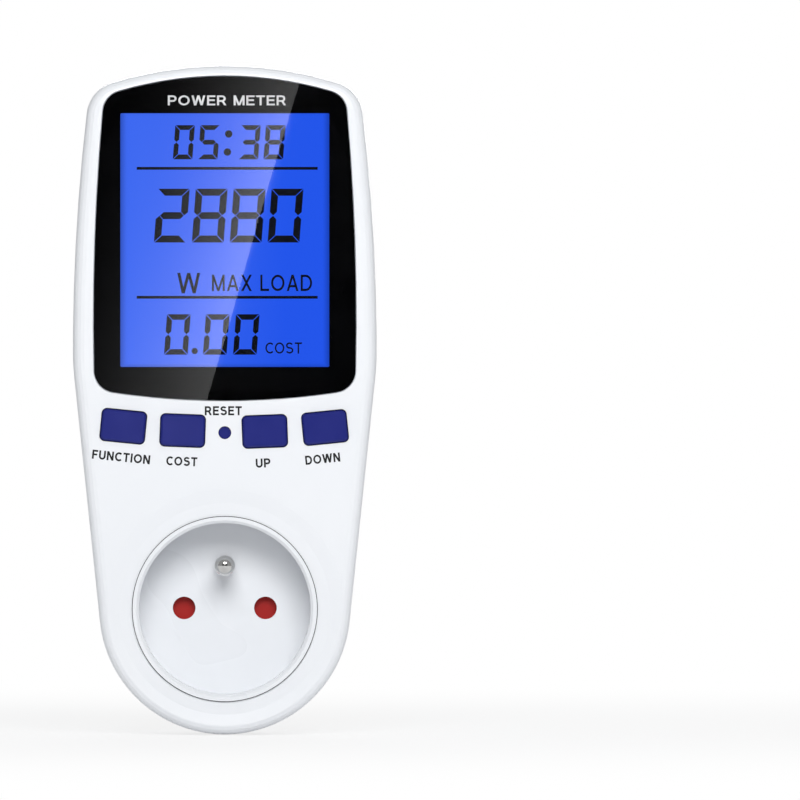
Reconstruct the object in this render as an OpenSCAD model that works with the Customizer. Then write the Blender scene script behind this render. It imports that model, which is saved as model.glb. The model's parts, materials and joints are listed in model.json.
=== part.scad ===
// Plug in power meter with a pin earthed socket in front and a plug on the back.
// Frame: +Z up, +X to the right seen from the front, the front looks along -Y.
// Origin: centre of the plug's face, between the two pins. Millimetres.

/* [Case outline] */
// Radius of the round lower end, centred on the socket
case_r = 29.2; // [29:0.1:29.6]
// Lean of the straight sides, in degrees
case_taper = 6; // [5.8:0.1:6.2]
// Height of the top above the socket centre
case_top = 126.4; // [126:0.2:128]
// Wall of both shells
wall = 2.2; // [2:0.1:2.4]
// Radius of the rolled front edge
front_roll = 2.6; // [2:0.1:3]

/* [Depths behind the plug face] */
// Front face of the case
front_depth = 57; // [57:0.5:58]
// Upper rear panel
upper_depth = 32; // [31.5:0.1:32.2]
// Raised lower rear panel
panel_depth = 19; // [19:0.05:19.1]
// Parting line between the shells
split_depth = 41; // [40.8:0.1:41.2]

/* [Plug and socket] */
// Distance between the two power pins
pin_pitch = 19; // [19:0.05:19.1]
// Diameter of the pins
pin_d = 4.8; // [4.7:0.05:4.8]
// Length of the pins
pin_length = 19; // [18.5:0.1:19.5]
// Height of the earth contact above the pin line
earth_z = 10; // [9.9:0.05:10.1]
// Diameter of the socket recess
recess_d = 40; // [39.5:0.1:40]
// Diameter of the socket holes
socket_hole_d = 5.3; // [5.1:0.05:5.3]

/* [Keys] */
// Width of a key
key_w = 10.1; // [9.8:0.1:10.4]
// Height of a key
key_h = 7.2; // [7:0.1:7.4]
// How far a key stands out of the case
key_proud = 0.9; // [0.6:0.1:1.2]

/* [Display] */
// Width of the lit area
lcd_view_w = 48.6; // [47:0.1:49]
// Height of the lit area
lcd_view_h = 59; // [58:0.1:59]

/* [Hidden] */

$fn = 64;
gap = 0.05;       // air left round fixed fits
cut = 1;          // how far a cutter runs past a face

// Colours
shell_white = [0.93, 0.94, 0.95];
key_blue = [0.16, 0.17, 0.55];
metal = [0.75, 0.76, 0.78];
brass = [0.80, 0.66, 0.35];
board_green = [0.10, 0.38, 0.22];
part_black = [0.08, 0.08, 0.09];

// Depth levels along Y
front_y = -front_depth;
upper_y = -upper_depth;
panel_y = -panel_depth;
split_y = -split_depth;
boss_y = panel_y + 1;
front_inner_y = front_y + 3;
upper_inner_y = upper_y - wall;
panel_inner_y = panel_y - wall;
socket_floor_y = front_y + 15.5;
socket_back_y = socket_floor_y + 2.5;
carrier_front_y = socket_back_y + 2;
carrier_back_y = panel_inner_y - 1.45;
plug_disc_y = boss_y - 2.4;
window_back_y = front_y + 1.5;
mask_back_y = window_back_y + 0.3;
ledge_y = mask_back_y + 0.1;
display_board_y = -47.6;
power_board_y = -38;
board_t = 1.6;
display_back_y = display_board_y + board_t;
power_back_y = power_board_y + board_t;

// Case outline: bottom arc, leaning side, bend, long side arc, corner, top arc
case_wide_z = 60;
case_bend_r = 60;
case_side_r = 478;
case_corner_r = 8.5;
case_top_r = 90;

// Raised rear panel, built the same way
raised_r = 25.7;
raised_taper = 5;
raised_top = 69.6;
raised_wide_z = 56;
raised_bend_r = 60;
raised_side_r = 300;
raised_corner_r = 6.5;
raised_top_r = 200;
raised_roll = 1.6;
raised_draft = 0.8;
rear_roll = 3;

// Display window outline
window_half_w = 30.6;
window_wide_z = 67;
window_side_r = 557;
window_top = 124;
window_top_r = 87;
window_bottom = 48.4;
window_bottom_r = 178;
window_corner_r = 5.2;

// Lit area of the display and the parts behind it
lcd_y = [-54.9, -52.5];
guide_y = [-52.3, -49.3];
led_x = [-14, 0, 14];
cell_z = 99;
lcd_view_z = 56.3;
lcd_w = 50.6;
lcd_z = 54.8;
lcd_top = 117.4;
guide_top = 115.2;
aperture_w = 53;
aperture_z = 53.6;
aperture_top = 117.7;

// Recess and film of the rating label
label_w = 43.2;
label_h = 28.8;
label_z = 42.6;
label_recess = 0.5;
label_t = 0.2;

// Screws: lower pair beside the plug, one at the top
lower_screw_x = 21.2;
lower_screw_z = 16;
lower_well_r = 2.7;
lower_seat_y = panel_y - 12.6;
upper_screw_z = 121.3;
upper_well_r = 2.75;
upper_seat_y = upper_y - 6;
case_screw_r = 1.5;
case_head_r = 2.6;
case_head_h = 1.8;
screw_clear_r = 1.7;
lower_column_r = 3.2;
upper_column_r = 2.7;
lower_tube_r = 4.2;
upper_tube_r = 4;
lower_tip_y = -46.5;
upper_tip_y = -50.5;
lower_seat_t = 2;
upper_seat_t = 1.5;

// Keys: [x, z, lean in degrees, seen from the front]
function_place = [-23.6, 42.5, -5.7];
cost_place = [-9.8, 41.5, -2.2];
up_place = [9.3, 41.3, 2.2];
down_place = [23.3, 42.2, 5.7];
reset_place = [0, 41, 0];
key_corner_r = 1;
key_gap = 0.3;
switch_face_y = display_board_y - 3.4;
plunger_tip_y = switch_face_y - 0.9;
reset_hole_r = 1.5;
key_flange_y = front_inner_y + 0.15;

// Board fixings
display_posts = [[-29, 56], [29, 56], [-28.7, 98], [28.7, 98]];
power_posts = [[-22, 29], [22, 29], [-24.5, 60], [24.5, 60]];
small_screw_r = 0.85;
small_head_r = 1.6;
small_head_h = 1.1;
post_r = 1.9;
board_hole_r = 1;

// Socket and plug
pin_x = pin_pitch / 2;
pin_r = pin_d / 2;
cup_r = 21.45;
rim_bevel = 0.6;
plug_seam_r = 20.15;
plug_flange_r = 22.2;
shank_r = pin_r - 0.3;
pin_neck = 0.3;
pin_ring = 0.12;
nose_r = 18;
nose_half_w = 15.8;
carrier_r = 19.5;
sleeve_r = 3.05;
sleeve_bore_r = 2.65;
carrier_screw = [15.8, -6];
carrier_screw_r = 1.4;
carrier_seat_y = -26.5;
bracket_y = -0.5;
bracket_t = 0.8;

// Busbars: an eye behind each pin, a step forward past the plug's rim, then the run outwards
busbar_t = 0.8;
busbar_half_w = 2;
busbar_y = [plug_disc_y - 1, plug_disc_y - 1 + busbar_t];
busbar_run_y = [carrier_back_y - 1.55, carrier_back_y - 1.55 + busbar_t];
busbar_step_z = 12.1;

// Shutter: blades over the holes, pushed down by the plug's pins
shutter_t = 1.6;
shutter_back_y = carrier_front_y - 0.2;
spring_z = -6.2;
spring_foot_z = -18.5;
spring_y = carrier_front_y + 1.9;

// ---- plane helpers: drawings are made in X and Z and stretched along Y ----

module slab(y_from, y_to)
    translate([0, y_to, 0]) rotate([90, 0, 0]) linear_extrude(y_to - y_from) children();

module rod(r, y_from, y_to, x = 0, z = 0)
    translate([x, y_to, z]) rotate([90, 0, 0]) cylinder(r = r, h = y_to - y_from);

module block(x, y, z)
    translate([x[0], y[0], z[0]]) cube([x[1] - x[0], y[1] - y[0], z[1] - z[0]]);

module rounded_rect(w, h, r) {
    square([w - 2 * r, h], center = true);
    square([w, h - 2 * r], center = true);
    for (x = [-1, 1], z = [-1, 1]) translate([x * (w / 2 - r), z * (h / 2 - r)]) circle(r);
}

module at(place) translate([place[0], 0, place[1]]) children();

module both_sides() {
    children();
    mirror([1, 0, 0]) children();
}

// ---- outlines made of tangent arcs ----

function arc(c, r, from, to, steps) =
    [for (i = [0 : steps]) c + r * [cos(from + (to - from) * i / steps),
                                    sin(from + (to - from) * i / steps)]];

function heading(from, to) = atan2(to[1] - from[1], to[0] - from[0]);

// Centre of a circle that lies p_r from p and q_r from q, above (side 1) or below (side -1)
function meet(p, p_r, q, q_r, side) =
    let (d = norm(q - p),
         along = (p_r * p_r - q_r * q_r + d * d) / (2 * d),
         off = sqrt(p_r * p_r - along * along),
         u = (q - p) / d)
    p + along * u + side * off * [-u[1], u[0]];

function with_mirror(half) =
    concat(half, [for (i = [len(half) - 1 : -1 : 0]) if (half[i][0] > 0.01) [-half[i][0], half[i][1]]]);

// Drop shaped outline: round foot, leaning sides, bulged upper sides and a crowned top
function drop(r, taper, wide_z, bend_r, side_r, top, top_r, corner_r, inset) =
    let (line_z = wide_z - bend_r * sin(taper),
         half_w = r / cos(taper) + line_z * tan(taper) + bend_r * (1 - cos(taper)),
         side_c = [half_w - side_r, wide_z],
         top_c = [0, top - top_r],
         corner_c = meet(side_c, side_r - corner_r, top_c, top_r - corner_r, 1),
         a = heading(side_c, corner_c),
         b = heading(top_c, corner_c))
    with_mirror(concat(
        arc([0, 0], r - inset, -90, -taper, 28),
        arc([half_w - bend_r, wide_z], bend_r - inset, -taper, 0, 3),
        arc(side_c, side_r - inset, 0.5, a, 5),
        arc(corner_c, corner_r - inset, a, b, 10),
        arc(top_c, top_r - inset, b, 90, 7)));

function case_outline(inset) =
    drop(case_r, case_taper, case_wide_z, case_bend_r, case_side_r, case_top, case_top_r,
         case_corner_r, inset);

function raised_outline(inset) =
    drop(raised_r, raised_taper, raised_wide_z, raised_bend_r, raised_side_r, raised_top,
         raised_top_r, raised_corner_r, inset);

// Window outline: bowed bottom, bulged sides and a crowned top
function window_outline(inset) =
    let (side_c = [window_half_w - window_side_r, window_wide_z],
         top_c = [0, window_top - window_top_r],
         foot_c = [0, window_bottom + window_bottom_r],
         reach = window_side_r - window_corner_r,
         high_c = meet(side_c, reach, top_c, window_top_r - window_corner_r, 1),
         low_c = meet(side_c, reach, foot_c, window_bottom_r - window_corner_r, -1),
         low_a = heading(foot_c, low_c),
         side_a = heading(side_c, low_c),
         side_b = heading(side_c, high_c),
         top_a = heading(top_c, high_c))
    with_mirror(concat(
        arc(foot_c, window_bottom_r - inset, -90, low_a, 6),
        arc(low_c, window_corner_r - inset, low_a, side_a, 8),
        arc(side_c, window_side_r - inset, side_a, side_b, 6),
        arc(high_c, window_corner_r - inset, side_b, top_a, 8),
        arc(top_c, window_top_r - inset, top_a, 90, 7)));

// ---- shells ----

// An outline at one depth, as points in space
function ring(y, outline) = [for (p = outline) [p[0], y, p[1]]];

// Closed solid through rings of equal length, listed from front to back
module loft(rings) {
    n = len(rings[0]);
    last = len(rings) - 1;
    polyhedron(
        points = [for (r = rings) each r],
        faces = concat(
            [[for (i = [n - 1 : -1 : 0]) i]],
            [for (k = [0 : last - 1], i = [0 : n - 1]) [k * n + i, k * n + (i + 1) % n, (k + 1) * n + i]],
            [for (k = [0 : last - 1], i = [0 : n - 1])
                [k * n + (i + 1) % n, (k + 1) * n + (i + 1) % n, (k + 1) * n + i]],
            [[for (i = [0 : n - 1]) last * n + i]]));
}

// Angles from the start of a rolled edge to the straight wall
roll_angles = [90, 72, 54, 36, 18, 0];

module front_skin()
    loft(concat(
        [for (a = roll_angles)
            ring(front_y + front_roll * (1 - sin(a)), case_outline(front_roll * (1 - cos(a))))],
        [ring(split_y, case_outline(0))]));

module key_opening(place, grow)
    at(place) rotate([0, -place[2], 0]) slab(front_y - cut, front_inner_y + cut)
        rounded_rect(key_w + 2 * grow, key_h + 2 * grow, key_corner_r + grow);

module front_columns() {
    both_sides()
        rod(lower_column_r, front_inner_y - gap, lower_seat_y - lower_seat_t - gap,
            lower_screw_x, lower_screw_z);
    rod(upper_column_r, front_inner_y - gap, upper_seat_y - upper_seat_t - gap, 0, upper_screw_z);
    for (p = display_posts) rod(post_r, ledge_y + 0.4, display_board_y, p[0], p[1]);
}

module front_column_bores() {
    both_sides() rod(case_screw_r + gap, lower_tip_y - 0.5, upper_y, lower_screw_x, lower_screw_z);
    rod(case_screw_r + gap, upper_tip_y - 0.5, upper_y, 0, upper_screw_z);
    for (p = display_posts)
        rod(small_screw_r + gap, display_board_y - 5.4, display_board_y + cut, p[0], p[1]);
}

// Shallow cone that dishes the face towards the socket
module socket_dish() {
    dish_depth = 0.4;
    translate([0, front_y + dish_depth, 0]) rotate([90, 0, 0])
        cylinder(r1 = 24.6, r2 = 27.8, h = dish_depth + 0.001);
}

module front_housing()
    color(shell_white) difference() {
        union() {
            difference() {
                front_skin();
                slab(front_inner_y, split_y + cut) polygon(case_outline(wall));
                slab(front_y - cut, ledge_y) polygon(window_outline(-0.1));
                slab(ledge_y - cut, front_inner_y + cut)
                    translate([0, (aperture_z + aperture_top) / 2])
                        rounded_rect(aperture_w, aperture_top - aperture_z, 2);
                for (p = [function_place, cost_place, up_place, down_place]) key_opening(p, key_gap);
                rod(reset_hole_r, front_y - cut, front_inner_y + cut, reset_place[0], reset_place[1]);
                rod(cup_r + 0.12, front_y - cut, front_inner_y + cut);
                socket_dish();
            }
            front_columns();
            difference() {
                slab(split_y - 2, split_y + 1.4) polygon(case_outline(wall / 2 + gap));
                slab(split_y - 2 - cut, split_y + 1.4 + cut) polygon(case_outline(wall));
            }
        }
        front_column_bores();
    }

module rear_skin()
    loft(concat(
        [ring(split_y, case_outline(0))],
        [for (i = [len(roll_angles) - 1 : -1 : 0])
            ring(upper_y - rear_roll * (1 - sin(roll_angles[i])),
                 case_outline(rear_roll * (1 - cos(roll_angles[i]))))]));

// The raised panel's sides lean in by draft on their way out
module raised_skin()
    loft(concat(
        [ring(upper_y - 2, raised_outline(-raised_draft))],
        [for (i = [len(roll_angles) - 1 : -1 : 0])
            ring(panel_y - raised_roll * (1 - sin(roll_angles[i])),
                 raised_outline(raised_roll * (1 - cos(roll_angles[i]))))]));

// Rounded grip grooves that run over the top edge of the raised panel
module grip_grooves() {
    groove_pitch = 4.3;
    groove_r = 1.1;
    groove_y = [panel_y - 0.8, panel_y + cut];
    for (i = [-5 : 5]) {
        x = i * groove_pitch;
        foot_z = raised_top - raised_top_r + sqrt(raised_top_r * raised_top_r - x * x) - 6.6;
        rod(groove_r, groove_y[0], groove_y[1], x, foot_z);
        block([x - groove_r, x + groove_r], groove_y, [foot_z, foot_z + 8]);
    }
}

module screw_tubes() {
    both_sides()
        rod(lower_tube_r, lower_seat_y - lower_seat_t, panel_y - wall / 2, lower_screw_x, lower_screw_z);
    rod(upper_tube_r, upper_seat_y - upper_seat_t, upper_y - wall / 2, 0, upper_screw_z);
}

module screw_wells() {
    both_sides() {
        rod(lower_well_r, lower_seat_y, panel_y + cut, lower_screw_x, lower_screw_z);
        rod(screw_clear_r, split_y - cut, panel_y, lower_screw_x, lower_screw_z);
    }
    rod(upper_well_r, upper_seat_y, upper_y + cut, 0, upper_screw_z);
    rod(screw_clear_r, split_y - cut, upper_y, 0, upper_screw_z);
}

module rear_housing()
    color(shell_white) difference() {
        union() {
            difference() {
                union() {
                    rear_skin();
                    raised_skin();
                    rod(24, panel_y - cut, boss_y);
                }
                slab(split_y - cut, upper_inner_y) polygon(case_outline(wall));
                slab(upper_inner_y - cut, panel_inner_y) polygon(raised_outline(wall));
                slab(split_y - cut, split_y + 1.5) polygon(case_outline(wall / 2 - gap));
                rod(plug_seam_r + 0.1, panel_inner_y - cut, boss_y + cut);
                grip_grooves();
                at([0, label_z]) slab(panel_y - label_recess, panel_y + cut)
                    rounded_rect(label_w, label_h, 0.6);
            }
            intersection() {
                screw_tubes();
                slab(split_y, panel_y) polygon(case_outline(wall / 2));
            }
            for (p = power_posts)
                rod(2, power_back_y, panel_inner_y + gap, p[0], p[1]);
        }
        screw_wells();
        for (p = power_posts)
            rod(small_screw_r + gap, power_back_y - cut, power_back_y + 7.4, p[0], p[1]);
    }

module display_window()
    color([0.1, 0.12, 0.16, 0.35]) slab(front_y, window_back_y) polygon(window_outline(0));

module window_mask()
    color(part_black) difference() {
        slab(window_back_y, mask_back_y) polygon(window_outline(0.1));
        at([0, lcd_view_z + lcd_view_h / 2])
            slab(window_back_y - cut, mask_back_y + cut) rounded_rect(lcd_view_w, lcd_view_h, 0.3);
    }

module rating_label()
    color([0.88, 0.89, 0.91]) at([0, label_z])
        slab(panel_y - label_recess, panel_y - label_recess + label_t)
            rounded_rect(label_w - 0.6, label_h - 0.6, 0.4);

// Pan head screw with a cross recess; the head looks along +Y
module cross_screw(seat_y, tip_y, shank_r, head_r, head_h, x, z) {
    difference() {
        union() {
            rod(head_r, seat_y, seat_y + head_h, x, z);
            rod(shank_r, tip_y, seat_y + gap, x, z);
        }
        for (turn = [0, 90])
            translate([x, seat_y + head_h, z]) rotate([0, turn + 20, 0])
                cube([head_r * 1.3, head_h * 1.2, head_r * 0.32], center = true);
    }
}

module lower_case_screws()
    color(part_black) both_sides()
        cross_screw(lower_seat_y, lower_tip_y, case_screw_r, case_head_r, case_head_h,
                    lower_screw_x, lower_screw_z);

module upper_case_screw()
    color(part_black)
        cross_screw(upper_seat_y, upper_tip_y, case_screw_r, case_head_r, case_head_h, 0, upper_screw_z);

// ---- keys and switches ----

module key_cap(place)
    at(place) rotate([0, -place[2], 0]) {
        crown_y = front_y - key_proud;
        hull() {
            slab(crown_y, crown_y + 0.2) rounded_rect(key_w - 0.8, key_h - 0.8, key_corner_r - 0.3);
            slab(crown_y + 0.4, front_inner_y) rounded_rect(key_w, key_h, key_corner_r);
        }
        slab(key_flange_y, key_flange_y + 0.8) rounded_rect(key_w + 1.6, key_h + 1.6, key_corner_r);
        slab(front_inner_y - gap, key_flange_y + gap) rounded_rect(key_w - 0.4, key_h - 0.4, key_corner_r);
        rod(1.6, key_flange_y + 0.4, plunger_tip_y);
    }

module plunger(place)
    color([0.85, 0.85, 0.82]) rod(1.75, plunger_tip_y, switch_face_y + 1.8, place[0], place[1]);

module function_key() color(key_blue) key_cap(function_place);
module cost_key() color(key_blue) key_cap(cost_place);
module up_key() color(key_blue) key_cap(up_place);
module down_key() color(key_blue) key_cap(down_place);

module reset_key()
    color(key_blue) at(reset_place) {
        rod(reset_hole_r - 0.15, front_y + 0.8, plunger_tip_y);
        rod(2.4, key_flange_y, key_flange_y + 0.8);
    }

module function_plunger() plunger(function_place);
module cost_plunger() plunger(cost_place);
module up_plunger() plunger(up_place);
module down_plunger() plunger(down_place);
module reset_plunger() plunger(reset_place);

module switch_bodies()
    color([0.2, 0.2, 0.22])
        for (p = [function_place, cost_place, up_place, down_place, reset_place]) at(p) difference() {
            slab(switch_face_y, display_board_y) square(6, center = true);
            rod(1.8, switch_face_y - cut, display_board_y - 0.8);
        }

// ---- display ----

module lcd_glass()
    color([0.25, 0.45, 0.95]) block([-lcd_w / 2, lcd_w / 2], lcd_y, [lcd_z, lcd_top]);

module light_guide()
    color([0.9, 0.92, 0.95]) block([-lcd_w / 2, lcd_w / 2], guide_y, [lcd_z, guide_top]);

module backlight_leds()
    color([0.95, 0.95, 0.85]) for (x = led_x)
        block([x - 1.6, x + 1.6], [-51.6, -50], [lcd_z - 1.1, lcd_z - 0.1]);

module display_carrier()
    color([0.9, 0.9, 0.88]) difference() {
        block([-26.4, 26.4], [-53.9, -47.8], [53, 118.2]);
        block([-lcd_w / 2 - 0.1, lcd_w / 2 + 0.1], [-55, -49.2], [lcd_z - 0.1, lcd_top + 0.1]);
        block([-23, 23], [-50, -47], [115.8, lcd_top + 0.1]);
        for (x = led_x) block([x - 1.8, x + 1.8], [-52, -49.6], [lcd_z - 1.3, lcd_z]);
    }

module zebra_strip()
    color([0.85, 0.5, 0.55]) block([-22.5, 22.5], [-52.4, -47.7], [115.9, 117.2]);

module board_sheet(y, z_low, z_high, half_w)
    intersection() {
        slab(y, y + board_t) polygon(case_outline(wall + 0.6));
        block([-half_w, half_w], [y - cut, y + board_t + cut], [z_low, z_high]);
    }

module display_board()
    color(board_green) difference() {
        board_sheet(display_board_y, 36.8, 117.9, 30.6);
        for (p = display_posts) rod(board_hole_r, display_board_y - cut, display_back_y + cut, p[0], p[1]);
        for (x = [-1, 1]) block([x * 24 - 1, x * 24 + 1], [display_board_y - cut, -45], [116.6, 119]);
    }

module display_board_screws()
    color(metal) for (p = display_posts)
        cross_screw(display_back_y, display_board_y - 5, small_screw_r, small_head_r, small_head_h,
                    p[0], p[1]);

module display_chip()
    color(part_black) block([-6, 6], [display_back_y, display_back_y + 1.6], [70, 82]);

module clock_crystal()
    color(metal) translate([11, display_back_y + 1.5, 76]) rotate([0, 90, 0]) cylinder(r = 1.5, h = 8);

module battery_holder()
    color(part_black) difference() {
        rod(11.6, display_back_y, display_back_y + 4.4, 0, cell_z);
        rod(10.15, display_back_y + 0.6, display_back_y + 5, 0, cell_z);
    }

module backup_cell()
    color(metal) {
        rod(10, display_back_y + 1, display_back_y + 3.6, 0, cell_z);
        rod(8.6, display_back_y + 0.7, display_back_y + 1.05, 0, cell_z);
    }

// Flat cable between the boards: out, down and out again, with round bends
module ribbon_cable()
    color([0.75, 0.76, 0.8]) {
        cable_t = 0.6;
        bend_r = 1.2;
        top_z = 62;
        foot_z = 56;
        mid_y = (display_back_y + power_board_y) / 2;
        rotate([90, 0, 90]) translate([0, 0, -6]) linear_extrude(12) {
            translate([display_back_y, top_z - cable_t]) square([mid_y - bend_r - display_back_y, cable_t]);
            translate([mid_y - bend_r, top_z - bend_r]) quarter_ring(bend_r, cable_t, 0);
            translate([mid_y - cable_t, foot_z + bend_r]) square([cable_t, top_z - foot_z - 2 * bend_r]);
            translate([mid_y + bend_r - cable_t, foot_z + bend_r]) quarter_ring(bend_r, cable_t, 180);
            translate([mid_y + bend_r - cable_t, foot_z])
                square([power_board_y - mid_y - bend_r + cable_t, cable_t]);
        }
    }

module quarter_ring(r, t, turn)
    rotate(turn) intersection() {
        difference() {
            circle(r);
            circle(r - t);
        }
        square(r + 1);
    }

// ---- power board ----

module power_board()
    color(board_green) difference() {
        intersection() {
            slab(power_board_y, power_board_y + board_t) polygon(raised_outline(wall + 0.6));
            block([-30, 30], [power_board_y - cut, -30], [24.6, 66]);
        }
        for (p = power_posts) rod(board_hole_r, power_board_y - cut, power_back_y + cut, p[0], p[1]);
        for (z = [26.2, 31.6])
            block([pin_x - 2.4, pin_x + 2.4], [power_board_y - cut, -36], [z - 0.6, z + 0.6]);
    }

module power_board_screws()
    color(metal) for (p = power_posts) mirror([0, 1, 0])
        cross_screw(-power_board_y, -power_board_y - 6.4, small_screw_r, small_head_r, small_head_h,
                    p[0], p[1]);

module film_capacitor()
    color([0.75, 0.62, 0.2]) block([-10, 8], [power_back_y, power_back_y + 12], [51, 58.5]);

module electrolytic_capacitors()
    color([0.1, 0.12, 0.3]) for (z = [43, 53]) rod(4, power_back_y, power_back_y + 11, 15.5, z);

module metering_chip()
    color(part_black) block([-9, -1], [power_back_y, power_back_y + 1.6], [35, 41]);

module varistor()
    color([0.15, 0.35, 0.7]) {
        translate([-18.6, power_back_y + 6.6, 45]) rotate([0, 90, 0]) cylinder(r = 5, h = 3.4);
        for (z = [42.4, 47.6]) rod(0.4, power_back_y, power_back_y + 3, -16.9, z);
    }

module fuse_resistor()
    color([0.7, 0.6, 0.5]) {
        translate([5, power_back_y + 2.4, 46]) rotate([0, 90, 0]) cylinder(r = 1.6, h = 5, center = true);
        for (x = [-0.4, 10.4])
            translate([x, power_back_y, 46]) rotate([-90, 0, 0]) cylinder(r = 0.35, h = 2.7);
        translate([5, power_back_y + 2.4, 46]) rotate([0, 90, 0]) cylinder(r = 0.35, h = 11.4, center = true);
    }

module shunt()
    color([0.72, 0.5, 0.35]) difference() {
        block([pin_x - 1.5, pin_x + 1.5], [power_back_y, power_back_y + 3], [27.2, 30.8]);
        block([pin_x - 2, pin_x + 2], [power_back_y - cut, power_back_y + 2.2], [28, 30]);
    }

// ---- live and neutral path ----

// The eye, the step and the run of one busbar, up to top_z
module busbar(x, top_z) {
    band_x = [x - busbar_half_w, x + busbar_half_w];
    difference() {
        block([x - 2.9, x + 2.9], busbar_y, [-3, 3.6]);
        rod(1.5, busbar_y[0] - cut, busbar_y[1] + cut, x);
    }
    block(band_x, busbar_y, [3.5, busbar_step_z + busbar_t]);
    block(band_x, [busbar_run_y[0], busbar_y[1]], [busbar_step_z, busbar_step_z + busbar_t]);
    block(band_x, busbar_run_y, [busbar_step_z, top_z]);
}

module live_busbar()
    color(brass) {
        top_z = 32;
        busbar(pin_x, top_z);
        block([pin_x - busbar_half_w, pin_x + busbar_half_w], [power_board_y, busbar_run_y[1]],
              [top_z - busbar_t, top_z]);
    }

module neutral_busbar()
    color(brass) {
        top_z = 21;
        tab_y = -26;
        busbar(-pin_x, top_z);
        block([-pin_x - busbar_half_w, -pin_x + busbar_half_w], [tab_y, busbar_run_y[1]],
              [top_z - busbar_t, top_z]);
        block([-pin_x - 3.6, -pin_x + busbar_half_w], [tab_y, tab_y + busbar_t], [top_z - busbar_t, 23.4]);
    }

// Two springy leaves joined by a floor, with a tail; the pin passes between them
module socket_contact(tail_top) {
    leaf_t = 0.7;
    leaf_gap = 2.3;
    leaf_y = [carrier_front_y + 1.6, -23.4];
    tail_y = [-30, -26];
    outer = leaf_gap + leaf_t;
    for (x = [-outer, leaf_gap]) block([x, x + leaf_t], leaf_y, [-3.8, 3.2]);
    block([-outer, outer], [-33, -26], [-4.4, -3.8]);
    for (x = [-1, 1]) translate([x * leaf_gap, leaf_y[0], -0.3]) rotate([0, 0, x * 20])
        translate([x > 0 ? 0 : -leaf_t, -1.3, -2.8]) cube([leaf_t, 1.6, 5.6]);
    block([leaf_gap, outer], tail_y, [3.1, tail_top]);
}

module live_contact()
    color(brass) {
        translate([pin_x, 0, 0]) socket_contact(26.6);
        block([pin_x - 1.9, pin_x + 3], [-35, -26], [25.8, 26.6]);
        block([pin_x - 1.9, pin_x + 1.9], [power_board_y, -34.9], [25.8, 26.6]);
    }

module neutral_contact()
    color(brass) mirror([1, 0, 0]) {
        translate([pin_x, 0, 0]) socket_contact(23.4);
        block([pin_x + 2.2, pin_x + 3], [-30, -26.2], [20, 23.4]);
    }

// ---- socket ----

module socket_cup()
    color(shell_white) difference() {
        union() {
            rod(cup_r, front_y, socket_back_y);
            rod(cup_r + 1.5, front_inner_y + gap, front_inner_y + 1.6);
        }
        rod(recess_d / 2, front_y - cut, socket_floor_y);
        translate([0, front_y + rim_bevel, 0]) rotate([90, 0, 0])
            cylinder(r1 = recess_d / 2, r2 = recess_d / 2 + rim_bevel, h = rim_bevel + 0.001);
        for (x = [-1, 1]) {
            rod(socket_hole_d / 2, socket_floor_y - cut, socket_back_y + cut, x * pin_x);
            rod(carrier_screw_r + gap, socket_back_y - 1.7, socket_back_y + cut,
                x * carrier_screw[0], carrier_screw[1]);
        }
        rod(shank_r + gap, socket_floor_y - cut, socket_back_y + cut, 0, earth_z);
    }

module socket_earth_pin()
    color(metal) {
        tip_y = socket_floor_y - 14 + pin_r;
        rod(pin_r, tip_y, socket_floor_y - pin_neck, 0, earth_z);
        rod(shank_r, socket_floor_y - pin_neck - gap, socket_back_y, 0, earth_z);
        translate([0, tip_y, earth_z]) sphere(r = pin_r);
        rod(3.4, socket_back_y, socket_back_y + 0.8, 0, earth_z);
        rod(1.5, socket_back_y, socket_back_y + 2.4, 0, earth_z);
    }

module shutter()
    color([0.75, 0.1, 0.1]) {
        shutter_y = [shutter_back_y - shutter_t, shutter_back_y];
        both_sides() block([pin_x - 3.7, pin_x + 3.7], shutter_y, [-4.2, 3.5]);
        block([-pin_x, pin_x], shutter_y, [-6, -2]);
        block([-1.6, 1.6], [shutter_back_y - gap, shutter_back_y + 3.4], [spring_z, -3.6]);
    }

// Compression spring as a stack of rings joined by a thin core line
module shutter_spring()
    color(metal) {
        wire_r = 0.22;
        coil_r = 1.2;
        turns = 9;
        pitch = (spring_z - spring_foot_z - 2 * wire_r) / turns;
        translate([0, spring_y, spring_foot_z + wire_r]) {
            for (i = [0 : turns]) translate([0, 0, i * pitch])
                rotate_extrude() translate([coil_r, 0]) circle(wire_r, $fn = 16);
            translate([coil_r, 0, 0]) cylinder(r = 0.12, h = turns * pitch, $fn = 16);
        }
    }

module contact_carrier()
    color([0.85, 0.84, 0.8]) difference() {
        rod(carrier_r, carrier_front_y, carrier_back_y);
        both_sides()
            block([pin_x - 3.4, pin_x + 3.4], [carrier_front_y - cut, carrier_back_y + cut], [-5, 4]);
        both_sides() block([pin_x + 2, pin_x + 3.4], [-30.4, -25.6], [3, carrier_r]);
        block([-3.8, 3.8], [carrier_front_y - cut, carrier_back_y + cut], [6, carrier_r + 1]);
        both_sides()
            block([pin_x - 2.4, pin_x + 2.4], [busbar_run_y[0] - 0.3, carrier_back_y + cut],
                  [busbar_step_z - 0.3, carrier_r]);
        block([-2, 2], [carrier_front_y - cut, carrier_front_y + 4], [spring_foot_z, -3.2]);
        for (x = [-1, 1]) {
            rod(carrier_screw_r + 0.15, carrier_front_y - cut, carrier_back_y + cut,
                x * carrier_screw[0], carrier_screw[1]);
            rod(2.5, carrier_seat_y, carrier_back_y + cut, x * carrier_screw[0], carrier_screw[1]);
        }
        block([-2.4, 2.4], [carrier_back_y - 4, carrier_back_y + cut], [-3, 3]);
    }

module carrier_screws()
    color(metal) for (x = [-1, 1])
        cross_screw(carrier_seat_y, socket_back_y - 1.5, carrier_screw_r, 2.2, 1.5,
                    x * carrier_screw[0], carrier_screw[1]);

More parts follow.
